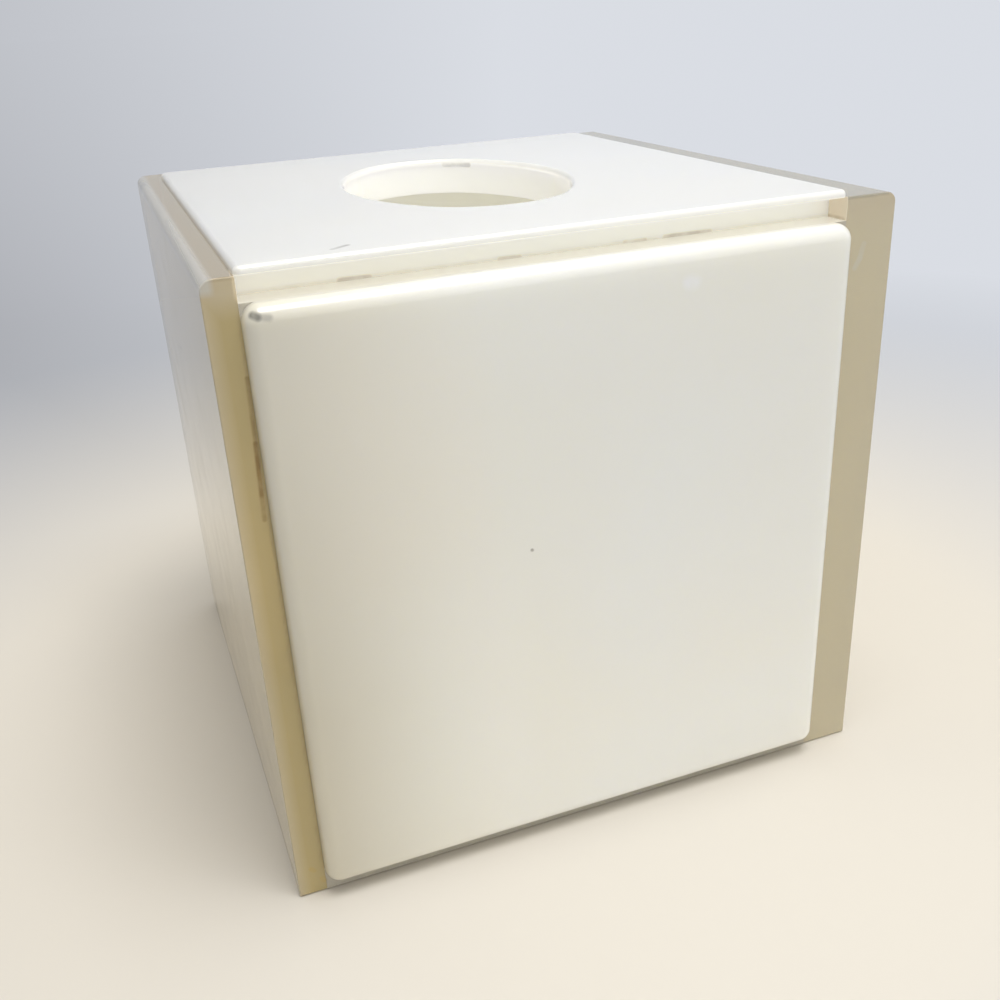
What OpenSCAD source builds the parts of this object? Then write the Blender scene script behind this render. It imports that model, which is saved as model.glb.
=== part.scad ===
// A square cover that drops over a cube box of tissues. A block of amber clear slabs holds a
// pearl inner box, pearl plates are bonded to its front, its back and its top, and the tissues
// come out of an oval opening in the top. The block's bottom centre is the origin, the top
// is +Z, and the front is -Y.

/* [Clear block] */
// Width of the clear block, from left to right
block_w = 150; // [145:0.5:190]
// Depth of the clear block, from front to back
block_d = 150; // [145:0.5:190]
// Height of the clear block
block_h = 144; // [138:0.5:190]
// Thickness of the left slab
clear_left_t = 6.4; // [5.5:0.1:14]
// Thickness of the right slab
clear_right_t = 12.7; // [5.5:0.1:14]
// Thickness of the front slab
clear_front_t = 6.4; // [5.5:0.1:14]
// Thickness of the back slab
clear_back_t = 9.5; // [5.5:0.1:14]
// Radius of the outer top edge of the left and right slabs
clear_edge_r = 2.4; // [0.5:0.1:2.7]

/* [Inner box] */
// Thickness of the four inner side panels
liner_t = 3.2; // [2:0.1:6]
// Thickness of the inner top panel
liner_top_t = 7.6; // [4:0.1:12]

/* [Outer plates] */
// Thickness of the front and back plates
plate_t = 4.2; // [3.6:0.1:8]
// Radius of the rounded face edges of the front and back plates
plate_edge_r = 3.2; // [0.8:0.1:3.5]
// Radius of the outline corners of the front and back plates
plate_corner_r = 3.6; // [3.6:0.1:12]
// Height of the lower edge of the front and back plates over the table
plate_lift = 3.4; // [0.5:0.1:12]
// Distance of the upper edge of the front and back plates below the top of the block
plate_drop = 5; // [0.5:0.1:12]
// Thickness of the top plate
plate_top_t = 1.6; // [1.2:0.1:6]
// Radius of the rounded face edge of the top plate
plate_top_edge_r = 1.1; // [0.3:0.1:1.1]
// Radius of the outline corners of the top plate
plate_top_corner_r = 1.5; // [1.5:0.1:12]

/* [Tissue opening] */
// Length of the oval opening, from front to back
oval_length = 81; // [66:0.5:100]
// Width of the oval opening, from left to right
oval_width = 54; // [44:0.5:62]
// Radius of the rounded rim of the oval opening
oval_rim_r = 1.1; // [0.3:0.1:1.1]

/* [Hidden] */
$fn = 96;

// How far a cutting shape runs past the surface that it cuts
overrun = 1;

// The block's faces
block_left = -block_w / 2;
block_right = block_w / 2;
block_front = -block_d / 2;
block_back = block_d / 2;

// The room between the clear slabs, which the inner box fills
room_left = block_left + clear_left_t;
room_right = block_right - clear_right_t;
room_front = block_front + clear_front_t;
room_back = block_back - clear_back_t;
room_w = room_right - room_left;

// The underside of the inner top panel
ceiling_z = block_h - liner_top_t;

// The front slab is as high as the front plate's upper edge, which leaves an open groove under
// the front edge of the top plate
front_slab_h = block_h - plate_drop;

// The front and back plates are as wide as the room behind them
upright_plate_h = block_h - plate_lift - plate_drop;

// The top plate runs from the front face of the block to the back of the room
top_plate_d = room_back - block_front;

// The oval opening is in the middle of the top plate. It is drawn with four arcs, and the middle
// of an end arc, the middle of a side arc and the middle of the oval are the corners of a
// triangle with sides in the ratio 3 to 4 to 5, so the arcs meet smoothly.
tri_y = 3;
tri_x = 4;
tri_long = 5;
oval_x = (room_left + room_right) / 2;
oval_y = (block_front + room_back) / 2;
oval_unit = (oval_length - oval_width) / (2 * (tri_y + tri_x - tri_long));
oval_end_y = tri_y * oval_unit;
oval_side_x = tri_x * oval_unit;
oval_end_r = oval_length / 2 - oval_end_y;
oval_side_r = oval_end_r + tri_long * oval_unit;
// How far the sectors that trim the arcs reach along the triangle's shorter sides
sector_reach = oval_side_r / 2;

amber = [0.76, 0.66, 0.45, 0.75];
pearl = [0.92, 0.91, 0.87];
pearl_shade = [0.84, 0.82, 0.75];

// A slab between two opposite corners
module slab(low, high) {
    translate(low) cube(high - low);
}

// A side slab seen from the front, with its outer top edge rounded and its outer face at x = 0
module side_slab_section(thickness) {
    square([thickness, block_h - clear_edge_r]);
    translate([clear_edge_r, 0]) square([thickness - clear_edge_r, block_h]);
    translate([clear_edge_r, block_h - clear_edge_r]) circle(clear_edge_r);
}

// A left or right clear slab, which runs the whole depth of the block, for the left side
module side_slab(thickness) {
    translate([block_left, block_back, 0])
        rotate([90, 0, 0])
            linear_extrude(block_d)
                side_slab_section(thickness);
}

// A plate cut across, with both edges of its upper face rounded
module plate_section(width, thickness, edge_r) {
    intersection() {
        square([width, thickness]);
        union() {
            square([width, thickness - edge_r]);
            translate([edge_r, 0]) square([width - 2 * edge_r, thickness]);
            translate([edge_r, thickness - edge_r]) circle(edge_r);
            translate([width - edge_r, thickness - edge_r]) circle(edge_r);
        }
    }
}

// One outline corner of a plate, turned about its own middle
module plate_corner(thickness, corner_r, edge_r) {
    rotate_extrude()
        intersection() {
            square([corner_r, thickness]);
            translate([-corner_r, 0]) plate_section(2 * corner_r, thickness, edge_r);
        }
}

// A plate with rounded outline corners and a rounded edge all round its upper face
module plate(width, length, thickness, corner_r, edge_r) {
    translate([0, length - corner_r, 0])
        rotate([90, 0, 0])
            linear_extrude(length - 2 * corner_r)
                plate_section(width, thickness, edge_r);
    translate([corner_r, 0, 0])
        rotate([90, 0, 90])
            linear_extrude(width - 2 * corner_r)
                plate_section(length, thickness, edge_r);
    for (x = [corner_r, width - corner_r], y = [corner_r, length - corner_r])
        translate([x, y, 0]) plate_corner(thickness, corner_r, edge_r);
}

// What the back end arc keeps, seen from the arc's own middle
module end_sector() {
    polygon([
        [0, 0],
        [tri_x * sector_reach, tri_y * sector_reach],
        [-tri_x * sector_reach, tri_y * sector_reach]
    ]);
}

// What the right side arc keeps, seen from the arc's own middle
module side_sector() {
    polygon([
        [0, 0],
        [tri_x * sector_reach, -tri_y * sector_reach],
        [tri_x * sector_reach, tri_y * sector_reach]
    ]);
}

// Puts what is made about the back end arc's middle at both ends of the oval
module at_both_ends() {
    for (side = [0, 1])
        mirror([0, side, 0]) translate([0, oval_end_y, 0]) children();
}

// Puts what is made about the right side arc's middle at both sides of the oval
module at_both_sides() {
    for (side = [0, 1])
        mirror([side, 0, 0]) translate([-oval_side_x, 0, 0]) children();
}

// The oval opening's outline
module oval_outline() {
    at_both_ends() intersection() {
        circle(oval_end_r);
        end_sector();
    }
    at_both_sides() intersection() {
        circle(oval_side_r);
        side_sector();
    }
}

// The straight hole of one arc with its rounded rim, through a plate that lies on z = 0
module rimmed_disc(arc_r) {
    rotate_extrude() {
        translate([0, -overrun]) square([arc_r, plate_top_t + 2 * overrun]);
        difference() {
            translate([arc_r - oval_rim_r, plate_top_t - oval_rim_r])
                square([2 * oval_rim_r, oval_rim_r + overrun]);
            translate([arc_r + oval_rim_r, plate_top_t - oval_rim_r]) circle(oval_rim_r);
        }
    }
}

// A sector made tall enough to trim a rimmed disc
module tall_sector() {
    translate([0, 0, -2 * overrun]) linear_extrude(plate_top_t + 4 * overrun) children();
}

// The oval opening with its rounded rim, through a plate that lies on z = 0
module rimmed_oval() {
    at_both_ends() intersection() {
        rimmed_disc(oval_end_r);
        tall_sector() end_sector();
    }
    at_both_sides() intersection() {
        rimmed_disc(oval_side_r);
        tall_sector() side_sector();
    }
}

module clear_front() {
    color(amber)
        slab([room_left, block_front, 0], [room_right, room_front, front_slab_h]);
}

module clear_back() {
    color(amber)
        slab([room_left, room_back, 0], [room_right, block_back, block_h]);
}

module clear_left() {
    color(amber) side_slab(clear_left_t);
}

module clear_right() {
    color(amber) mirror([1, 0, 0]) side_slab(clear_right_t);
}

// The inner top panel stands on the four inner side panels, level with the clear slabs
module liner_top() {
    color(pearl_shade)
        difference() {
            slab([room_left, room_front, ceiling_z], [room_right, room_back, block_h]);
            translate([oval_x, oval_y, ceiling_z - overrun])
                linear_extrude(liner_top_t + 2 * overrun)
                    oval_outline();
        }
}

module liner_front() {
    color(pearl_shade)
        slab([room_left + liner_t, room_front, 0], [room_right - liner_t, room_front + liner_t, ceiling_z]);
}

module liner_back() {
    color(pearl_shade)
        slab([room_left + liner_t, room_back - liner_t, 0], [room_right - liner_t, room_back, ceiling_z]);
}

module liner_left() {
    color(pearl_shade)
        slab([room_left, room_front, 0], [room_left + liner_t, room_back, ceiling_z]);
}

module liner_right() {
    color(pearl_shade)
        slab([room_right - liner_t, room_front, 0], [room_right, room_back, ceiling_z]);
}

module plate_top() {
    color(pearl)
        difference() {
            translate([room_left, block_front, block_h])
                plate(room_w, top_plate_d, plate_top_t, plate_top_corner_r, plate_top_edge_r);
            translate([oval_x, oval_y, block_h]) rimmed_oval();
        }
}

// The front plate stands on its edge against the block
module plate_front() {
    color(pearl)
        translate([room_left, block_front, plate_lift])
            rotate([90, 0, 0])
                plate(room_w, upright_plate_h, plate_t, plate_corner_r, plate_edge_r);
}

// The back plate is the front plate on the other side of the block
module plate_back() {
    mirror([0, 1, 0]) plate_front();
}

clear_front();
clear_back();
clear_left();
clear_right();
liner_top();
liner_front();
liner_back();
liner_left();
liner_right();
plate_top();
plate_front();
plate_back();
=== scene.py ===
"""Dresses the tissue box cover: clear amber slabs, pearl plates and a pale studio stage."""

import math

import bpy
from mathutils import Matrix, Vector


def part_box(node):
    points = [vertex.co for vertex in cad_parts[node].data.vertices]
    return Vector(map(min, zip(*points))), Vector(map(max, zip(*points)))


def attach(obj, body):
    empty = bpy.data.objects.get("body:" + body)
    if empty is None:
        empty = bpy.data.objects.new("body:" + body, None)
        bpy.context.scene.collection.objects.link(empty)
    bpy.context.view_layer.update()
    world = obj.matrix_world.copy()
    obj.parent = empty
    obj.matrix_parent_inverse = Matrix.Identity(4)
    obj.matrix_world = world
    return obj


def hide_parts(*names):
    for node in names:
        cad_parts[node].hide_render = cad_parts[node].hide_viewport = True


bl_info = {
    "name": "Tissue Box Cover",
    "version": (1, 0, 0),
    "blender": (4, 5, 0),
    "location": "3D View > Sidebar > Tissue Cover",
    "description": "Builds the clear slabs, the inner box and the pearl plates of a tissue box cover",
    "category": "Add Mesh",
}

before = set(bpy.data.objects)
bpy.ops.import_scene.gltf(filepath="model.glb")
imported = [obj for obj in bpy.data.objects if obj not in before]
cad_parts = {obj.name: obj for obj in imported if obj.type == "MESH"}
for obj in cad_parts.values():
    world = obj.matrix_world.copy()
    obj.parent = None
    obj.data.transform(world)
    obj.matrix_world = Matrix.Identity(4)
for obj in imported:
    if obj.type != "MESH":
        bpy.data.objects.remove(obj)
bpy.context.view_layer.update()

MM = 0.001
# Parts that are cemented together overlap by this much, so no air shows between them
BOND = 0.05 * MM
# The clear slabs stop this short of each other, which keeps their joint faces apart
JOINT_GAP = 0.02 * MM
# The floor lies a hair under the cover, so their faces never share a plane
FLOOR_GAP = 0.2 * MM

# Points of a new piece that lie closer than this are merged
MERGED = 0.002 * MM
# Faces that meet at a smaller angle than this are shaded smooth
SMOOTH_ANGLE = math.radians(40)

# Where the clear block ends, and the room between its left and right slabs
BLOCK_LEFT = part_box("clear_left")[0].x
BLOCK_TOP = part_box("clear_left")[1].z
ROOM_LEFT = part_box("clear_left")[1].x
ROOM_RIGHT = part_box("clear_right")[0].x
# The front slab's inner top corner, where the groove's floor meets its back wall
GROOVE_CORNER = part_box("clear_front")[1]
TOP_LOW, TOP_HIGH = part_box("plate_top")
OVAL_CENTRE = (TOP_LOW + TOP_HIGH) / 2


# Selecting and adding

def select_only(piece):
    """Make one object the only selected one, and the active one."""
    bpy.ops.object.select_all(action="DESELECT")
    piece.select_set(True)
    bpy.context.view_layer.objects.active = piece


def named(name):
    """Name the object that was just added, and its mesh."""
    piece = bpy.context.object
    piece.name = name
    piece.data.name = name
    return piece


def add_block(name, low, high):
    """Add a block between two opposite corners, with its place in its mesh."""
    bpy.ops.object.select_all(action="DESELECT")
    bpy.ops.mesh.primitive_cube_add(size=1, location=(low + high) / 2, scale=high - low)
    piece = named(name)
    bpy.ops.object.transform_apply(location=True, rotation=True, scale=True)
    return piece


def near(value, target):
    """Tell whether two lengths are the same to a thousandth of a millimetre."""
    return abs(value - target) < 1e-6


def edit_edges(piece, wanted):
    """Go to edit mode with the edges selected whose two ends pass the test."""
    select_only(piece)
    bpy.ops.object.mode_set(mode="EDIT")
    bpy.ops.mesh.select_mode(type="EDGE")
    bpy.ops.mesh.select_all(action="DESELECT")
    bpy.ops.object.mode_set(mode="OBJECT")
    found = 0
    for edge in piece.data.edges:
        first, second = (piece.data.vertices[i].co for i in edge.vertices)
        if wanted(first, second):
            edge.select = True
            found += 1
    if not found:
        raise RuntimeError(f"{piece.name}: no edge passes the test")
    bpy.ops.object.mode_set(mode="EDIT")


def round_edges(piece, wanted, radius, segments):
    """Round the chosen edges."""
    edit_edges(piece, wanted)
    bpy.ops.mesh.bevel(offset=radius, segments=segments, profile=0.5, clamp_overlap=False)
    bpy.ops.object.mode_set(mode="OBJECT")


def runs_along(axis):
    """Give a test for edges that run along one axis."""
    others = [i for i in range(3) if i != axis]
    return lambda a, b: all(near(a[i], b[i]) for i in others)


def lies_in(axis, place):
    """Give a test for edges that lie in the plane where an axis has one value."""
    return lambda a, b: near(a[axis], place) and near(b[axis], place)


def mirrored_copy(piece, name, axis):
    """Copy a piece with its own mesh, mirrored through the middle of the cover."""
    select_only(piece)
    bpy.ops.object.duplicate(linked=False)
    copy = named(name)
    copy.scale[axis] = -1
    bpy.ops.object.transform_apply(location=False, rotation=False, scale=True)
    face_outwards(copy)
    return copy


def face_outwards(piece):
    """Turn all faces of a closed mesh to the outside."""
    select_only(piece)
    bpy.ops.object.mode_set(mode="EDIT")
    bpy.ops.mesh.select_all(action="SELECT")
    bpy.ops.mesh.normals_make_consistent(inside=False)
    bpy.ops.object.mode_set(mode="OBJECT")


def smooth(piece):
    """Shade a piece smooth, with its large faces kept flat."""
    select_only(piece)
    bpy.ops.object.shade_smooth_by_angle(angle=SMOOTH_ANGLE)
    bpy.ops.object.modifier_add(type="WEIGHTED_NORMAL")
    piece.modifiers[-1].keep_sharp = True
    bpy.ops.object.modifier_apply(modifier=piece.modifiers[-1].name)


def cut_with(piece, cutter):
    """Cut a cutter out of a piece, delete the cutter and merge the doubled points."""
    select_only(piece)
    bpy.ops.object.modifier_add(type="BOOLEAN")
    cut = piece.modifiers[-1]
    cut.operation = "DIFFERENCE"
    cut.solver = "EXACT"
    cut.object = cutter
    bpy.ops.object.modifier_apply(modifier=cut.name)
    select_only(cutter)
    bpy.ops.object.delete()
    select_only(piece)
    bpy.ops.object.mode_set(mode="EDIT")
    bpy.ops.mesh.select_all(action="SELECT")
    bpy.ops.mesh.remove_doubles(threshold=MERGED)
    bpy.ops.mesh.dissolve_degenerate(threshold=MERGED)
    bpy.ops.object.mode_set(mode="OBJECT")


def wear(piece, *materials):
    """Give a piece its materials, in the order of its slots."""
    piece.data.materials.clear()
    for material in materials:
        piece.data.materials.append(material)


# Nodes for the materials

def new_material(name):
    """Make a material with its Principled shader and output."""
    material = bpy.data.materials.new(name)
    material.use_nodes = True
    tree = material.node_tree
    tree.nodes.clear()
    output = tree.nodes.new("ShaderNodeOutputMaterial")
    shader = tree.nodes.new("ShaderNodeBsdfPrincipled")
    tree.links.new(shader.outputs["BSDF"], output.inputs["Surface"])
    return material, tree, shader, output


def object_place(tree, scale=(1, 1, 1), location=(0, 0, 0)):
    """Read the place on the piece, stretched and moved."""
    place = tree.nodes.new("ShaderNodeTexCoord")
    mapping = tree.nodes.new("ShaderNodeMapping")
    mapping.inputs["Scale"].default_value = scale
    mapping.inputs["Location"].default_value = location
    tree.links.new(place.outputs["Object"], mapping.inputs["Vector"])
    return mapping.outputs["Vector"]


def axis_place(tree, axis):
    """Read the place on the piece along one axis."""
    place = tree.nodes.new("ShaderNodeTexCoord")
    parts = tree.nodes.new("ShaderNodeSeparateXYZ")
    tree.links.new(place.outputs["Object"], parts.inputs["Vector"])
    return parts.outputs[axis]


def cloud(tree, place, scale, detail=2.0, rough=0.5, distortion=0.0):
    """Make a soft cloud pattern."""
    noise = tree.nodes.new("ShaderNodeTexNoise")
    noise.inputs["Scale"].default_value = scale
    noise.inputs["Detail"].default_value = detail
    noise.inputs["Roughness"].default_value = rough
    noise.inputs["Distortion"].default_value = distortion
    tree.links.new(place, noise.inputs["Vector"])
    return noise.outputs["Fac"]


def span(tree, value, low, high, out_low, out_high):
    """Map one range of values to another, held at its ends."""
    node = tree.nodes.new("ShaderNodeMapRange")
    node.inputs["From Min"].default_value = low
    node.inputs["From Max"].default_value = high
    node.inputs["To Min"].default_value = out_low
    node.inputs["To Max"].default_value = out_high
    tree.links.new(value, node.inputs["Value"])
    return node.outputs["Result"]


def blend(tree, amount, first, second):
    """Mix two colours, each a colour or a node's output."""
    node = tree.nodes.new("ShaderNodeMix")
    node.data_type = "RGBA"
    tree.links.new(amount, node.inputs["Factor"])
    for socket, colour in (("A", first), ("B", second)):
        target = [i for i in node.inputs if i.name == socket and i.type == "RGBA"][0]
        if hasattr(colour, "links"):
            tree.links.new(colour, target)
        else:
            target.default_value = (*colour, 1)
    return [o for o in node.outputs if o.type == "RGBA"][0]


def combine(tree, operation, first, second):
    """Work on two numbers, each a number or a node's output."""
    node = tree.nodes.new("ShaderNodeMath")
    node.operation = operation
    for socket, value in zip(node.inputs, (first, second)):
        if hasattr(value, "links"):
            tree.links.new(value, socket)
        else:
            socket.default_value = value
    return node.outputs["Value"]


def vector_step(tree, operation, first, second, output="Vector"):
    """Work on two vectors, each a vector or a node's output."""
    node = tree.nodes.new("ShaderNodeVectorMath")
    node.operation = operation
    for socket, value in zip(node.inputs, (first, second)):
        if hasattr(value, "links"):
            tree.links.new(value, socket)
        else:
            socket.default_value = value
    return node.outputs[output]


def mark(tree, start, end, radius):
    """Tell how much a place lies within a radius, in mm, of a line between two points, in mm."""
    place = tree.nodes.new("ShaderNodeTexCoord").outputs["Object"]
    start = Vector(start) * MM
    line = Vector(end) * MM - start
    beside = vector_step(tree, "SUBTRACT", place, start)
    share = vector_step(tree, "DOT_PRODUCT", beside, line / max(line.length_squared, 1e-12), "Value")
    share = combine(tree, "MINIMUM", combine(tree, "MAXIMUM", share, 0), 1)
    scaled = tree.nodes.new("ShaderNodeVectorMath")
    scaled.operation = "SCALE"
    scaled.inputs[0].default_value = line
    tree.links.new(share, scaled.inputs["Scale"])
    reach = vector_step(tree, "SUBTRACT", beside, scaled.outputs["Vector"])
    length = vector_step(tree, "LENGTH", reach, (0, 0, 0), "Value")
    return span(tree, length, MARK_CORE * radius * MM, radius * MM, 1, 0)


def with_marks(tree, tint, marks):
    """Lay the marks of use over a colour, broken up by a fine pattern."""
    patchy = span(tree, cloud(tree, object_place(tree), 260), 0.3, 0.6, 0.4, 1)
    for start, end, radius, strength, colour in marks:
        amount = combine(tree, "MULTIPLY", mark(tree, start, end, radius), strength)
        amount = combine(tree, "MULTIPLY", amount, patchy)
        tint = blend(tree, amount, tint, colour)
    return tint


def uneven(tree, height, shader, distance, strength):
    """Let a pattern raise and lower the surface."""
    bump = tree.nodes.new("ShaderNodeBump")
    bump.inputs["Strength"].default_value = strength
    bump.inputs["Distance"].default_value = distance
    tree.links.new(height, bump.inputs["Height"])
    tree.links.new(bump.outputs["Normal"], shader.inputs["Normal"])


# Marks of use, each with its start and end in mm, its radius in mm, its strength and its colour.
# A mark is at its full strength in the core of its radius.

MARK_CORE = 0.35
PLATE_MARKS = (
    # A chip in the top left corner of the front plate
    ((-66.9, -78.3, 137.5), (-66.0, -78.8, 137.0), 1.0, 0.95, (0.10, 0.09, 0.07)),
    ((-65.8, -78.9, 137.1), (-64.0, -79.1, 136.7), 1.0, 0.45, (0.25, 0.24, 0.21)),
    # A speck in the middle of the front plate and a pale spot near its upper edge
    ((-15.5, -79.2, 78.7), (-15.4, -79.2, 78.6), 0.5, 0.9, (0.20, 0.17, 0.13)),
    ((21.6, -79.2, 131.8), (22.6, -79.2, 131.6), 2.2, 0.6, (0.98, 0.98, 0.96)),
)
# A dash of grey cement in the oval's far wall, between the top plate and the inner top
OVAL_MARK = ((6.5, 33.2, 144.0), (12.4, 28.5, 144.0), 0.9, 0.9, (0.36, 0.35, 0.32))
TOP_MARKS = (
    OVAL_MARK,
    # A short grey line near the front edge
    ((-49.3, -70.3, 145.6), (-46.1, -68.2, 145.6), 0.85, 1.0, (0.28, 0.26, 0.22)),
)
LINER_MARKS = (
    OVAL_MARK,
    # The line of cement at the bottom of the groove, with darker spots where it oozed
    ((-68.6, -68.6, 139.1), (62.3, -68.6, 139.1), 0.8, 0.25, (0.66, 0.55, 0.34)),
    ((-48.3, -68.6, 139.2), (-42.5, -68.6, 139.1), 0.8, 0.6, (0.32, 0.24, 0.12)),
    ((-15.6, -68.6, 139.2), (-11.4, -68.6, 139.1), 0.7, 0.5, (0.36, 0.27, 0.14)),
    ((12.2, -68.6, 139.2), (16.8, -68.6, 139.1), 0.7, 0.5, (0.36, 0.27, 0.14)),
    ((21.5, -68.6, 139.2), (32.3, -68.6, 139.1), 0.8, 0.6, (0.32, 0.24, 0.12)),
)
SLAB_MARKS = (
    # Cement that browned in the corner between the left slab and the front plate
    ((-69.0, -75.0, 125.0), (-69.3, -75.0, 112.0), 0.6, 0.6, (0.45, 0.29, 0.09)),
    ((-69.3, -75.0, 112.0), (-69.8, -75.0, 96.0), 0.65, 0.9, (0.38, 0.23, 0.07)),
    # The line of cement along the right slab, at the end of the groove
    ((62.3, -68.8, 139.0), (62.3, -74.0, 139.0), 0.8, 0.8, (0.34, 0.28, 0.16)),
    # A pale curved scratch in the right slab's front
    ((67.4, -75.0, 133.3), (66.7, -75.0, 130.3), 0.9, 0.9, (1.0, 0.97, 0.88)),
    ((66.7, -75.0, 130.3), (65.6, -75.0, 128.3), 0.9, 0.9, (1.0, 0.97, 0.88)),
    # A scratch in the left slab's side
    ((-75.0, 14.0, 108.8), (-75.0, 1.0, 111.2), 0.7, 0.8, (0.35, 0.26, 0.14)),
    # Yellow bubbles of cement low in the left slab's corner
    ((-71.6, -75.0, 7.2), (-70.9, -75.0, 6.4), 0.8, 0.6, (0.88, 0.66, 0.24)),
    ((-69.4, -75.0, 3.6), (-69.0, -75.0, 2.8), 0.9, 0.6, (0.88, 0.66, 0.24)),
)


# Settings

class SlabSettings(bpy.types.PropertyGroup):
    """Sizes and colours of the clear slabs."""

    top_edge_radius: bpy.props.FloatProperty(
        name="Top edge radius", description="Radius of the outer top edge of the side slabs",
        default=2.4 * MM, min=0.0005, max=0.0027, subtype="DISTANCE", unit="LENGTH")
    eased_edge: bpy.props.FloatProperty(
        name="Eased edge", description="Radius that the polishing leaves on the other outer edges",
        default=0.35 * MM, min=0.0001, max=0.001, subtype="DISTANCE", unit="LENGTH")
    amber: bpy.props.FloatVectorProperty(
        name="Amber", description="Colour that the clear acrylic lets through",
        default=(0.72, 0.58, 0.28), size=3, min=0, max=1, subtype="COLOR")
    depth_of_colour: bpy.props.FloatProperty(
        name="Depth of colour", description="How much light the acrylic takes in each metre",
        default=6.0, min=0, max=200)
    # Darker than the right haze, as painted shade at the left
    left_haze_painted_shade: bpy.props.FloatVectorProperty(
        name="Left haze", description="Colour of the haze in the acrylic at the left side",
        default=(0.83, 0.69, 0.35), size=3, min=0, max=1, subtype="COLOR")
    right_haze: bpy.props.FloatVectorProperty(
        name="Right haze", description="Colour of the haze in the acrylic at the right side",
        default=(0.99, 0.91, 0.70), size=3, min=0, max=1, subtype="COLOR")
    # Paler, as painted light near the slabs' tops and at the left edge
    pale_haze_painted_light: bpy.props.FloatVectorProperty(
        name="Pale haze", description="Colour of the haze near the slabs' tops and at the left edge",
        default=(1.0, 0.89, 0.69), size=3, min=0, max=1, subtype="COLOR")
    # Paler, as painted light in the front slab
    front_haze_painted_light: bpy.props.FloatVectorProperty(
        name="Front haze", description="Colour of the haze in the front slab",
        default=(0.98, 0.93, 0.82), size=3, min=0, max=1, subtype="COLOR")
    milkiness: bpy.props.FloatProperty(
        name="Milkiness", description="How much of the light the haze scatters",
        default=0.42, min=0, max=0.5)


class PlateSettings(bpy.types.PropertyGroup):
    """Sizes and colours of the pearl plates."""

    corner_radius: bpy.props.FloatProperty(
        name="Corner radius", description="Radius of the upright plates' outline corners",
        default=3.6 * MM, min=0.0036, max=0.012, subtype="DISTANCE", unit="LENGTH")
    edge_radius: bpy.props.FloatProperty(
        name="Edge radius", description="Radius of the upright plates' rounded face edges",
        default=3.2 * MM, min=0.0008, max=0.0035, subtype="DISTANCE", unit="LENGTH")
    top_corner_radius: bpy.props.FloatProperty(
        name="Top corner radius", description="Radius of the top plate's outline corners",
        default=1.5 * MM, min=0.0015, max=0.012, subtype="DISTANCE", unit="LENGTH")
    top_edge_radius: bpy.props.FloatProperty(
        name="Top edge radius", description="Radius of the top plate's rounded face edge",
        default=1.1 * MM, min=0.0003, max=0.0015, subtype="DISTANCE", unit="LENGTH")
    warm_pearl: bpy.props.FloatVectorProperty(
        name="Warm pearl", description="The warmer tint of the pearl clouds",
        default=(0.93, 0.90, 0.81), size=3, min=0, max=1, subtype="COLOR")
    cool_pearl: bpy.props.FloatVectorProperty(
        name="Cool pearl", description="The cooler tint of the pearl clouds",
        default=(0.91, 0.92, 0.87), size=3, min=0, max=1, subtype="COLOR")


class OpeningSettings(bpy.types.PropertyGroup):
    """Sizes of the oval opening."""

    end_radius: bpy.props.FloatProperty(
        name="End radius", description="Radius of the arcs at the front and back ends",
        default=20.25 * MM, min=0.01, max=0.04, subtype="DISTANCE", unit="LENGTH")
    end_reach: bpy.props.FloatProperty(
        name="End reach", description="Distance of the end arcs' middles from the oval's middle",
        default=20.25 * MM, min=0.005, max=0.04, subtype="DISTANCE", unit="LENGTH")
    rim_radius: bpy.props.FloatProperty(
        name="Rim radius", description="Radius of the top plate's rounded rim",
        default=1.1 * MM, min=0.0003, max=0.0015, subtype="DISTANCE", unit="LENGTH")


class StageSettings(bpy.types.PropertyGroup):
    """Floor, light and camera."""

    floor_near: bpy.props.FloatVectorProperty(
        name="Floor near", description="Colour of the floor round the cover",
        default=(0.72, 0.68, 0.61), size=3, min=0, max=1, subtype="COLOR")
    floor_far: bpy.props.FloatVectorProperty(
        name="Floor far", description="Colour of the floor further away",
        default=(0.46, 0.48, 0.52), size=3, min=0, max=1, subtype="COLOR")
    # Darker than the right, as painted shade of the room at the left
    backdrop_left: bpy.props.FloatVectorProperty(
        name="Backdrop left", description="Colour of the background at the left",
        default=(0.40, 0.41, 0.44), size=3, min=0, max=1, subtype="COLOR")
    backdrop_right: bpy.props.FloatVectorProperty(
        name="Backdrop right", description="Colour of the background at the right",
        default=(0.70, 0.725, 0.775), size=3, min=0, max=1, subtype="COLOR")
    ceiling_light: bpy.props.FloatProperty(
        name="Ceiling light", description="Power of the large light over the cover",
        default=9.0, min=0, unit="POWER")
    groove_glow: bpy.props.FloatProperty(
        name="Groove glow", description="Light that the walls of the groove pass on to each other",
        default=0.25, min=0, max=1)
    box_glow: bpy.props.FloatProperty(
        name="Box glow", description="Light that the walls of the inner box pass on to each other",
        default=0.16, min=0, max=1)
    room_light: bpy.props.FloatProperty(
        name="Room light", description="Strength of the light from all around",
        default=0.54, min=0, max=2)


# Materials

ACRYLIC_IOR = 1.49
# The slabs' haze changes from left to right between these places, darker at the left as painted shade
HAZE_REACH = 60 * MM
# The painted shade on top of the slabs at the left and at the right, and the painted highlight on the
# left slab's rounded edge
LEFT_TOP_PAINTED_SHADE = (0.72, 0.61, 0.42)
RIGHT_TOP_PAINTED_SHADE = (0.60, 0.58, 0.50)
ROUNDED_EDGE_PAINTED_HIGHLIGHT = (0.98, 0.97, 0.93)
# The front slab lies ahead of this place
FRONT_END = -60 * MM
# The light that pale surfaces pass on to each other, and the same from bared cement
PALE_LIGHT = (1.0, 0.98, 0.88)
CEMENT_LIGHT = (1.0, 0.86, 0.62)
# The light that the oval's wall passes on, and how many times that of the box it is
OVAL_LIGHT = (0.94, 0.93, 1.0)
OVAL_GAIN = 1.6
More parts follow.
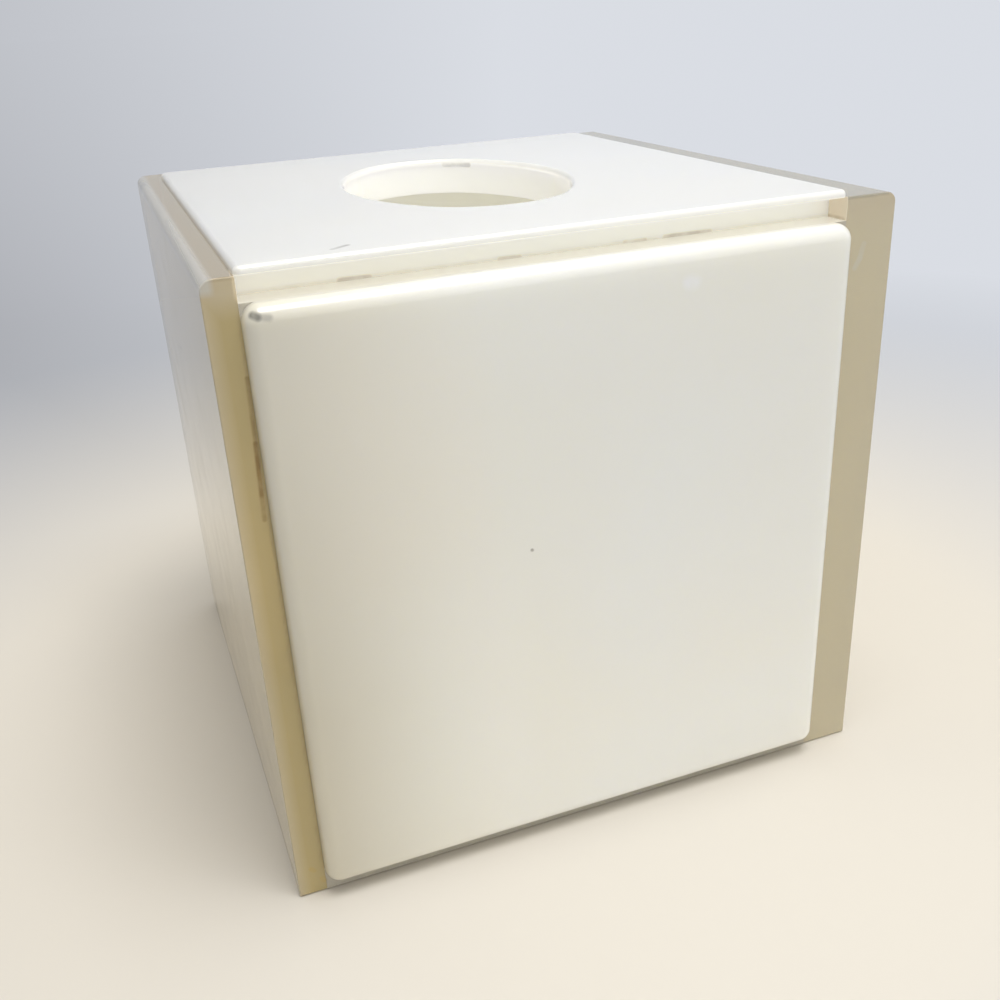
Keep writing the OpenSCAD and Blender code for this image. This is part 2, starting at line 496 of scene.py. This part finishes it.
# The painted shade of the upright plates and of the top plate at their left edges
SHADED_UPRIGHT = (0.60, 0.56, 0.45)
SHADED_TOP = (0.64, 0.66, 0.64)
# How far the upright plates' painted shade reaches, and between which heights it gets fainter
SHADE_REACH = 48 * MM
SHADE_LOW = 50 * MM
SHADE_HIGH = 115 * MM
# How far a direction leans to the right where the background is at its darkest and at its palest
DARKEST_LEAN = -0.35
PALEST_LEAN = 0.36
# Distances from the cover, in metres, between which the floor cools and fades away
FLOOR_COOLS = (0.16, 0.42)
FLOOR_FADES = (0.15, 0.55)


def haze_colour(tree, settings):
    """Give the colour of the haze in the acrylic, with painted light and shade and the marks of use
    over it.
    """
    # The haze darkens towards the left as painted shade
    across = span(tree, axis_place(tree, "X"), -HAZE_REACH, HAZE_REACH, 0, 1)
    haze = blend(tree, across, settings.left_haze_painted_shade, settings.right_haze)
    # The left slab is paler along its outer edge, and all slabs are near their tops, as painted light
    edge = span(tree, axis_place(tree, "X"), BLOCK_LEFT, BLOCK_LEFT + 3 * MM, 0.7, 0)
    cap = span(tree, axis_place(tree, "Z"), BLOCK_TOP - 8 * MM, BLOCK_TOP - 3 * MM, 0, 0.7)
    haze = blend(tree, combine(tree, "MAXIMUM", edge, cap), haze, settings.pale_haze_painted_light)
    # The tops themselves are greyer, as painted shade
    raised = span(tree, axis_place(tree, "Z"), BLOCK_TOP - 0.8 * MM, BLOCK_TOP - 0.1 * MM, 0, 1)
    haze = blend(tree, raised, haze, blend(tree, across, LEFT_TOP_PAINTED_SHADE, RIGHT_TOP_PAINTED_SHADE))
    # The left slab's rounded top edge is nearly white, a painted highlight
    outside = span(tree, axis_place(tree, "X"), BLOCK_LEFT + 1.6 * MM, BLOCK_LEFT + 2.8 * MM, 1, 0)
    rounded = span(tree, axis_place(tree, "Z"), BLOCK_TOP - 3.4 * MM, BLOCK_TOP - 2 * MM, 0, 1)
    haze = blend(tree, combine(tree, "MULTIPLY", outside, rounded), haze, ROUNDED_EDGE_PAINTED_HIGHLIGHT)
    # The front slab is the palest, as painted light
    ahead = combine(tree, "LESS_THAN", axis_place(tree, "Y"), FRONT_END)
    ahead = combine(tree, "MULTIPLY", ahead, in_the_room(tree))
    haze = blend(tree, ahead, haze, settings.front_haze_painted_light)
    return with_marks(tree, haze, SLAB_MARKS)


def acrylic(name, settings):
    """Start a clear acrylic, with its colour inside and its haze."""
    material, tree, shader, output = new_material(name)
    body = tree.nodes.new("ShaderNodeVolumeAbsorption")
    body.inputs["Color"].default_value = (*settings.amber, 1)
    body.inputs["Density"].default_value = settings.depth_of_colour
    tree.links.new(body.outputs["Volume"], output.inputs["Volume"])
    tree.links.new(haze_colour(tree, settings), shader.inputs["Base Color"])
    shader.inputs["IOR"].default_value = ACRYLIC_IOR
    shader.inputs["Transmission Weight"].default_value = 1 - settings.milkiness
    return material, tree, shader


def glow_where(tree, shader, place, strength, colour):
    """Let a surface give off a faint light where a place is."""
    tree.links.new(combine(tree, "MULTIPLY", place, strength), shader.inputs["Emission Strength"])
    shader.inputs["Emission Color"].default_value = (*colour, 1)


def clear_amber_material(settings, groove_glow):
    """Make the polished acrylic, with faint smears and a slightly wavy surface."""
    material, tree, shader = acrylic("clear_amber", settings)
    place = object_place(tree)
    smears = cloud(tree, place, 60, detail=4, rough=0.6, distortion=0.4)
    tree.links.new(span(tree, smears, 0.35, 0.7, 0.03, 0.12), shader.inputs["Roughness"])
    uneven(tree, cloud(tree, place, 45), shader, 0.05 * MM, 0.3)
    groove = combine(tree, "MULTIPLY", in_the_groove(tree), in_the_room(tree))
    glow_where(tree, shader, groove, groove_glow, PALE_LIGHT)
    return material


def joint_material(settings, groove_glow):
    """Make the acrylic of the cemented faces, which shows only where the groove bares it."""
    material, tree, shader = acrylic("clear_amber_joint", settings)
    shader.inputs["Roughness"].default_value = 0.15
    bared = in_the_groove(tree)
    tree.links.new(bared, shader.inputs["Alpha"])
    glow_where(tree, shader, bared, groove_glow, CEMENT_LIGHT)
    return material


def in_the_groove(tree):
    """Tell whether a place is a surface of the groove under the top plate's front edge."""
    above = combine(tree, "GREATER_THAN", axis_place(tree, "Z"), GROOVE_CORNER.z - BOND)
    ahead = combine(tree, "LESS_THAN", axis_place(tree, "Y"), GROOVE_CORNER.y + 2 * BOND)
    below = combine(tree, "LESS_THAN", axis_place(tree, "Z"), BLOCK_TOP + 2 * BOND)
    return combine(tree, "MULTIPLY", above, combine(tree, "MULTIPLY", ahead, below))


def in_the_room(tree):
    """Tell whether a place lies between the left and the right slab."""
    left = combine(tree, "GREATER_THAN", axis_place(tree, "X"), ROOM_LEFT)
    right = combine(tree, "LESS_THAN", axis_place(tree, "X"), ROOM_RIGHT)
    return combine(tree, "MULTIPLY", left, right)


def in_the_box(tree):
    """Tell whether a place is a surface inside the inner box, or the wall of its opening."""
    place = tree.nodes.new("ShaderNodeTexCoord").outputs["Object"]
    low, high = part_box("liner_top")
    middle = (low + high) / 2
    # The side panels' outer half is left out, and no height is
    half = (high - low) / 2 - Vector((1.6, 1.6, -200)) * MM
    share = vector_step(tree, "DIVIDE", vector_step(tree, "SUBTRACT", place, middle), half)
    share = vector_step(tree, "ABSOLUTE", share, (0, 0, 0))
    parts = tree.nodes.new("ShaderNodeSeparateXYZ")
    tree.links.new(share, parts.inputs["Vector"])
    widest = combine(tree, "MAXIMUM", parts.outputs["X"], parts.outputs["Y"])
    # The top plate's rounded rim is where the light ends
    under = span(tree, axis_place(tree, "Z"), TOP_LOW.z + 0.3 * MM, TOP_HIGH.z - 0.3 * MM, 1, 0)
    return combine(tree, "MULTIPLY", combine(tree, "LESS_THAN", widest, 1), under)


def passed_light(tree, shader, settings):
    """Stand in for the light that the pale walls pass on to each other in the hollows."""
    groove = combine(tree, "MULTIPLY", in_the_groove(tree), settings.groove_glow)
    box = combine(tree, "MULTIPLY", in_the_box(tree), settings.box_glow)
    # The wall of the oval, over the ceiling of the box, is the brightest and the whitest
    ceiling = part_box("liner_top")[0].z
    wall = combine(tree, "GREATER_THAN", axis_place(tree, "Z"), ceiling)
    wall = combine(tree, "MULTIPLY", combine(tree, "GREATER_THAN", box, 0.01), wall)
    box = combine(tree, "MULTIPLY", box, span(tree, wall, 0, 1, 1, OVAL_GAIN))
    tree.links.new(combine(tree, "MAXIMUM", groove, box), shader.inputs["Emission Strength"])
    tree.links.new(blend(tree, wall, PALE_LIGHT, OVAL_LIGHT), shader.inputs["Emission Color"])


def shade_upright(tree, tint):
    """Paint shade into the upright plates' tint towards the left, most of all low down."""
    across = span(tree, axis_place(tree, "X"), ROOM_LEFT, ROOM_LEFT + SHADE_REACH, 1, 0)
    fade = span(tree, axis_place(tree, "Z"), SHADE_LOW, SHADE_HIGH, 1, 0.62)
    shade = combine(tree, "MULTIPLY", combine(tree, "POWER", across, 1.5), fade)
    return blend(tree, shade, tint, SHADED_UPRIGHT)


def shade_top(tree, tint):
    """Paint a little shade into the top plate's tint towards the left."""
    shade = span(tree, axis_place(tree, "X"), ROOM_LEFT, ROOM_RIGHT, 0.28, 0)
    return blend(tree, shade, tint, SHADED_TOP)


def pearl_material(name, settings, shift, marks, shade=None, hollow=True):
    """Make the translucent pearl acrylic, with soft clouds under a polished surface."""
    material, tree, shader, _ = new_material(name)
    if hollow:
        passed_light(tree, shader, bpy.context.scene.tissue_stage)
    clouds = cloud(tree, object_place(tree, location=shift), 11, rough=0.4, distortion=0.5)
    clouds = span(tree, clouds, 0.35, 0.65, 0, 1)
    tint = blend(tree, clouds, settings.warm_pearl, settings.cool_pearl)
    if shade:
        tint = shade(tree, tint)
    tree.links.new(with_marks(tree, tint, marks), shader.inputs["Base Color"])
    # The smears are flatter than they are wide
    place = object_place(tree, (1, 1, 2.2), shift)
    smears = cloud(tree, place, 26, rough=0.45, distortion=0.6)
    tree.links.new(span(tree, smears, 0.3, 0.7, 0.30, 0.36), shader.inputs["Roughness"])
    shader.inputs["Specular IOR Level"].default_value = 1
    shader.inputs["IOR"].default_value = ACRYLIC_IOR
    shader.inputs["Subsurface Weight"].default_value = 1
    shader.inputs["Subsurface Radius"].default_value = (1, 1, 0.9)
    shader.inputs["Subsurface Scale"].default_value = 4 * MM
    shader.inputs["Coat Weight"].default_value = 1
    shader.inputs["Coat Roughness"].default_value = 0.05
    return material


def backdrop_colour(tree, place, settings):
    """Give the background's colour, darker at the left of the cover than at the right, as painted
    shade.
    """
    towards = vector_step(tree, "NORMALIZE", place, (0, 0, 0))
    lean = vector_step(tree, "DOT_PRODUCT", towards, (1, 0, 0), "Value")
    across = span(tree, lean, DARKEST_LEAN, PALEST_LEAN, 0, 1)
    return blend(tree, across, settings.backdrop_left, settings.backdrop_right)


def shown_rays(tree):
    """Tell whether a ray shows the background, straight, in a reflection or through the acrylic."""
    path = tree.nodes.new("ShaderNodeLightPath").outputs
    seen = combine(tree, "MAXIMUM", path["Is Glossy Ray"], path["Is Transmission Ray"])
    return combine(tree, "MAXIMUM", path["Is Camera Ray"], seen)


def floor_material(settings):
    """Make the floor, warm near the cover and cooler further away."""
    material, tree, shader, output = new_material("floor")
    place = tree.nodes.new("ShaderNodeTexCoord").outputs["Object"]
    reach = vector_step(tree, "LENGTH", place, (0, 0, 0), "Value")
    cooled = span(tree, reach, *FLOOR_COOLS, 0, 1)
    tint = blend(tree, cooled, settings.floor_near, settings.floor_far)
    tree.links.new(tint, shader.inputs["Base Color"])
    shader.inputs["Roughness"].default_value = 0.9
    shader.inputs["Specular IOR Level"].default_value = 0.1
    # The far floor is seen to fade into the background's own colour
    shown = tree.nodes.new("ShaderNodeEmission")
    tree.links.new(backdrop_colour(tree, place, settings), shown.inputs["Color"])
    faded = combine(tree, "MULTIPLY", span(tree, reach, *FLOOR_FADES, 0, 1), shown_rays(tree))
    mix = tree.nodes.new("ShaderNodeMixShader")
    tree.links.new(faded, mix.inputs["Fac"])
    tree.links.new(shader.outputs["BSDF"], mix.inputs[1])
    tree.links.new(shown.outputs["Emission"], mix.inputs[2])
    tree.links.new(mix.outputs["Shader"], output.inputs["Surface"])
    return material


# Clear slabs

def finish_slab(piece, node, materials, is_joint):
    """Give a slab its acrylic, with the joint acrylic on the faces that are cemented."""
    wear(piece, *materials)
    for face in piece.data.polygons:
        face.material_index = 1 if is_joint(face) else 0
    smooth(piece)
    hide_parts(node)
    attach(piece, "root")


def faces_sideways(face):
    """Tell whether a face looks to the left or to the right."""
    return abs(face.normal.x) > 0.99


def grown_inwards(node, axis):
    """Give a node's box, grown by the bond towards the middle, and its outer and inner place."""
    low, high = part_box(node)
    if low[axis] + high[axis] < 0:
        high[axis] += BOND
        return low, high, low[axis], high[axis]
    low[axis] -= BOND
    return low, high, high[axis], low[axis]


def add_side_slab(name, node, settings, materials):
    """Add a left or right slab, with its outer top edge rounded and its end edges eased."""
    low, high, outer, inner = grown_inwards(node, 0)
    slab = add_block(name, low, high)
    round_edges(
        slab, lambda a, b: lies_in(0, outer)(a, b) and lies_in(2, high.z)(a, b),
        settings.top_edge_radius, segments=12)
    for end in (low.y, high.y):
        round_edges(
            slab, lambda a, b: lies_in(1, end)(a, b) and not lies_in(0, inner)(a, b),
            settings.eased_edge, segments=3)
    finish_slab(
        slab, node, materials, lambda face: faces_sideways(face) and near(face.center.x, inner))


def add_cross_slab(name, node, settings, materials):
    """Add a front or back slab between the side slabs, with its outer long edges eased."""
    low, high, outer, _ = grown_inwards(node, 1)
    low.x += BOND + JOINT_GAP
    high.x -= BOND + JOINT_GAP
    slab = add_block(name, low, high)
    round_edges(
        slab, lambda a, b: lies_in(1, outer)(a, b) and runs_along(0)(a, b),
        settings.eased_edge * 0.5, segments=2)
    finish_slab(slab, node, materials, faces_sideways)


class TISSUECOVER_OT_clear_slabs(bpy.types.Operator):
    """Add the four clear amber slabs"""

    bl_idname = "tissue_cover.clear_slabs"
    bl_label = "Clear slabs"

    def execute(self, context):
        settings = context.scene.tissue_slabs
        glow = context.scene.tissue_stage.groove_glow
        materials = (clear_amber_material(settings, glow), joint_material(settings, glow))
        add_side_slab("slab_left", "clear_left", settings, materials)
        add_side_slab("slab_right", "clear_right", settings, materials)
        add_cross_slab("slab_front", "clear_front", settings, materials)
        add_cross_slab("slab_back", "clear_back", settings, materials)
        return {"FINISHED"}


# Oval opening

def add_point(name, place):
    """Add a mesh of one point, and stay in edit mode with it selected."""
    bpy.ops.object.select_all(action="DESELECT")
    bpy.ops.mesh.primitive_plane_add(size=1 * MM, location=place)
    piece = named(name)
    bpy.ops.object.transform_apply(location=True, rotation=True, scale=True)
    bpy.ops.object.mode_set(mode="EDIT")
    bpy.ops.mesh.select_mode(type="VERT")
    bpy.ops.mesh.select_all(action="SELECT")
    bpy.ops.mesh.merge(type="CENTER")
    return piece


def push(offset):
    """Extrude what is selected by an offset."""
    bpy.ops.mesh.extrude_region_move(TRANSFORM_OT_translate={"value": offset})


def oval_cutter(settings, bottom, top, rim):
    """Make a plug with the oval's outline, flared at the top where the rim is rounded."""
    # The arcs meet where a 3-4-5 triangle's long side points
    lean = Vector((0.8, 0.6, 0))
    half_end = math.degrees(math.atan2(0.8, 0.6))
    end_r = settings.end_radius
    reach = settings.end_reach
    side_reach = reach * 4 / 3
    centre = Vector((OVAL_CENTRE.x, OVAL_CENTRE.y, 0))
    start = centre + Vector((0, reach, 0)) + lean * end_r
    plug = add_point("oval_plug", start + Vector((0, 0, bottom - 1 * MM)))
    wall_top = top - rim if rim else top + 1 * MM
    push((0, 0, wall_top - bottom + 1 * MM))
    if rim:
        middle = start + lean * rim + Vector((0, 0, wall_top))
        along = Vector((-lean.y, lean.x, 0))
        bpy.ops.mesh.spin(steps=8, angle=math.radians(90), center=middle, axis=-along)
        push((0, 0, 1 * MM))
    bpy.ops.mesh.select_all(action="SELECT")
    turns = (
        (Vector((0, reach, 0)), 2 * half_end, 28),
        (Vector((side_reach, 0, 0)), 180 - 2 * half_end, 24),
        (Vector((0, -reach, 0)), 2 * half_end, 28),
        (Vector((-side_reach, 0, 0)), 180 - 2 * half_end, 24),
    )
    for middle, degrees, steps in turns:
        bpy.ops.mesh.spin(
            steps=steps, angle=-math.radians(degrees), center=centre + middle, axis=(0, 0, 1))
    bpy.ops.mesh.select_all(action="SELECT")
    bpy.ops.mesh.remove_doubles(threshold=MERGED)
    bpy.ops.mesh.select_mode(type="EDGE")
    bpy.ops.mesh.select_all(action="DESELECT")
    bpy.ops.mesh.select_non_manifold()
    bpy.ops.mesh.fill_holes(sides=0)
    bpy.ops.object.mode_set(mode="OBJECT")
    face_outwards(plug)
    return plug


# Pearl pieces

def finish_pearl(piece, node, material):
    """Smooth a pearl piece and put it in the place of its node."""
    smooth(piece)
    wear(piece, material)
    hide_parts(node)
    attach(piece, "root")


class TISSUECOVER_OT_inner_box(bpy.types.Operator):
    """Add the inner top with its oval, and finish the four inner side panels"""

    bl_idname = "tissue_cover.inner_box"
    bl_label = "Inner box"

    def execute(self, context):
        material = pearl_material(
            "pearl_liner", context.scene.tissue_plates, (3, 1, 2), LINER_MARKS)
        low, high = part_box("liner_top")
        panel = add_block("inner_top", low, high)
        cut_with(panel, oval_cutter(context.scene.tissue_opening, low.z, high.z, 0))
        finish_pearl(panel, "liner_top", material)
        for node in ("liner_front", "liner_back", "liner_left", "liner_right"):
            wear(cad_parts[node], material)
        return {"FINISHED"}


class TISSUECOVER_OT_upright_plates(bpy.types.Operator):
    """Add the pearl front and back plates"""

    bl_idname = "tissue_cover.upright_plates"
    bl_label = "Front and back plates"

    def execute(self, context):
        settings = context.scene.tissue_plates
        material = pearl_material(
            "pearl_plate", settings, (0, 0, 0), PLATE_MARKS, shade=shade_upright, hollow=False)
        low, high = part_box("plate_front")
        high.y += BOND
        plate = add_block("pearl_front", low, high)
        round_edges(plate, runs_along(1), settings.corner_radius, segments=12)
        round_edges(plate, lies_in(1, low.y), settings.edge_radius, segments=10)
        face_outwards(plate)
        partner = mirrored_copy(plate, "pearl_back", 1)
        finish_pearl(plate, "plate_front", material)
        finish_pearl(partner, "plate_back", material)
        return {"FINISHED"}


class TISSUECOVER_OT_top_plate(bpy.types.Operator):
    """Add the pearl top plate with the rounded rim of its oval"""

    bl_idname = "tissue_cover.top_plate"
    bl_label = "Top plate"

    def execute(self, context):
        settings = context.scene.tissue_plates
        opening = context.scene.tissue_opening
        low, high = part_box("plate_top")
        low.z -= BOND
        plate = add_block("pearl_top", low, high)
        round_edges(plate, runs_along(2), settings.top_corner_radius, segments=12)
        round_edges(plate, lies_in(2, high.z), settings.top_edge_radius, segments=6)
        cut_with(plate, oval_cutter(opening, low.z, high.z, opening.rim_radius))
        material = pearl_material("pearl_top", settings, (5, 2, 0), TOP_MARKS, shade=shade_top)
        finish_pearl(plate, "plate_top", material)
        return {"FINISHED"}


# Stage, with its places and sizes in metres

FLOOR_RADIUS = 12
LIGHT_PLACE = (0.10, -0.30, 1.25)
LIGHT_AIM = (0, 0, 0.1)
LIGHT_SIZE = 0.6
# The light from all around at its darkest and its lightest, and the direction of its lightest
ROOM_DARK = (0.22, 0.23, 0.25)
ROOM_LIGHT = (1.66, 1.63, 1.56)
ROOM_LEAN = (0.60, -0.14, 0.79)
# The camera's turn is in degrees, its lens and its sensor in mm
CAMERA_PLACE = (-0.0912, -0.2731, 0.1870)
CAMERA_TURN = (65.18, 2.86, -20.92)
CAMERA_LENS = 39.316
CAMERA_SENSOR = 36


def add_floor(settings):
    """Add the floor, a wide disc."""
    bpy.ops.object.select_all(action="DESELECT")
    bpy.ops.mesh.primitive_circle_add(
        vertices=128, radius=FLOOR_RADIUS, fill_type="NGON", location=(0, 0, -FLOOR_GAP))
    floor = named("floor")
    wear(floor, floor_material(settings))


def add_ceiling_light(settings):
    """Add the large light over the cover, aimed at it."""
    bpy.ops.object.select_all(action="DESELECT")
    bpy.ops.object.light_add(type="AREA", location=LIGHT_PLACE)
    lamp = bpy.context.object
    lamp.name = "ceiling_light"
    lamp.data.shape = "SQUARE"
    lamp.data.size = LIGHT_SIZE
    lamp.data.energy = settings.ceiling_light
    aim = Vector(LIGHT_AIM) - lamp.location
    lamp.rotation_euler = aim.to_track_quat("-Z", "Y").to_euler()


def add_room(scene, settings):
    """Give the scene its light from all around, and the background that is seen."""
    world = bpy.data.worlds.new("room")
    scene.world = world
    world.use_nodes = True
    tree = world.node_tree
    tree.nodes.clear()
    output = tree.nodes.new("ShaderNodeOutputWorld")
    towards = tree.nodes.new("ShaderNodeTexCoord").outputs["Generated"]
    shown = tree.nodes.new("ShaderNodeBackground")
    shown.inputs["Strength"].default_value = 1
    tree.links.new(backdrop_colour(tree, towards, settings), shown.inputs["Color"])
    # The room is lighter in front and at the right than at the left
    lit = tree.nodes.new("ShaderNodeBackground")
    lit.inputs["Strength"].default_value = settings.room_light
    lean = vector_step(tree, "DOT_PRODUCT", towards, ROOM_LEAN, "Value")
    side = span(tree, lean, -1, 1, 0, 1)
    tree.links.new(blend(tree, side, ROOM_DARK, ROOM_LIGHT), lit.inputs["Color"])
    mix = tree.nodes.new("ShaderNodeMixShader")
    tree.links.new(shown_rays(tree), mix.inputs["Fac"])
    tree.links.new(lit.outputs["Background"], mix.inputs[1])
    tree.links.new(shown.outputs["Background"], mix.inputs[2])
    tree.links.new(mix.outputs["Shader"], output.inputs["Surface"])


def add_camera(scene):
    """Add the camera at the photograph's viewing angle."""
    bpy.ops.object.select_all(action="DESELECT")
    bpy.ops.object.camera_add(
        location=CAMERA_PLACE, rotation=tuple(math.radians(turn) for turn in CAMERA_TURN))
    camera = bpy.context.object
    camera.name = "camera"
    camera.data.sensor_width = CAMERA_SENSOR
    camera.data.lens = CAMERA_LENS
    camera.data.clip_start = 10 * MM
    scene.camera = camera


class TISSUECOVER_OT_stage(bpy.types.Operator):
    """Add the floor, the light and the camera"""

    bl_idname = "tissue_cover.stage"
    bl_label = "Stage"

    def execute(self, context):
        settings = context.scene.tissue_stage
        add_floor(settings)
        add_ceiling_light(settings)
        add_room(context.scene, settings)
        add_camera(context.scene)
        context.scene.view_settings.view_transform = "Standard"
        return {"FINISHED"}


class TISSUECOVER_PT_panel(bpy.types.Panel):
    """Lists the steps that build the cover"""

    bl_idname = "TISSUECOVER_PT_panel"
    bl_label = "Tissue Box Cover"
    bl_space_type = "VIEW_3D"
    bl_region_type = "UI"
    bl_category = "Tissue Cover"

    def draw(self, context):
        layout = self.layout
        for group in ("tissue_slabs", "tissue_plates", "tissue_opening", "tissue_stage"):
            box = layout.box()
            settings = getattr(context.scene, group)
            for name in settings.__annotations__:
                box.prop(settings, name)
        for step in STEPS:
            layout.operator(step.bl_idname)


SETTINGS = {
    "tissue_slabs": SlabSettings,
    "tissue_plates": PlateSettings,
    "tissue_opening": OpeningSettings,
    "tissue_stage": StageSettings,
}
STEPS = (
    TISSUECOVER_OT_clear_slabs,
    TISSUECOVER_OT_inner_box,
    TISSUECOVER_OT_upright_plates,
    TISSUECOVER_OT_top_plate,
    TISSUECOVER_OT_stage,
)


def register():
    """Register the settings, the operators and the panel."""
    for name, group in SETTINGS.items():
        bpy.utils.register_class(group)
        setattr(bpy.types.Scene, name, bpy.props.PointerProperty(type=group))
    for step in STEPS:
        bpy.utils.register_class(step)
    bpy.utils.register_class(TISSUECOVER_PT_panel)


def unregister():
    """Take the panel, the operators and the settings away again."""
    bpy.utils.unregister_class(TISSUECOVER_PT_panel)
    for step in reversed(STEPS):
        bpy.utils.unregister_class(step)
    for name, group in SETTINGS.items():
        delattr(bpy.types.Scene, name)
        bpy.utils.unregister_class(group)


def main():
    """Build the whole cover."""
    register()
    bpy.ops.tissue_cover.clear_slabs()
    bpy.ops.tissue_cover.inner_box()
    bpy.ops.tissue_cover.upright_plates()
    bpy.ops.tissue_cover.top_plate()
    bpy.ops.tissue_cover.stage()


if __name__ == "__main__":
    main()
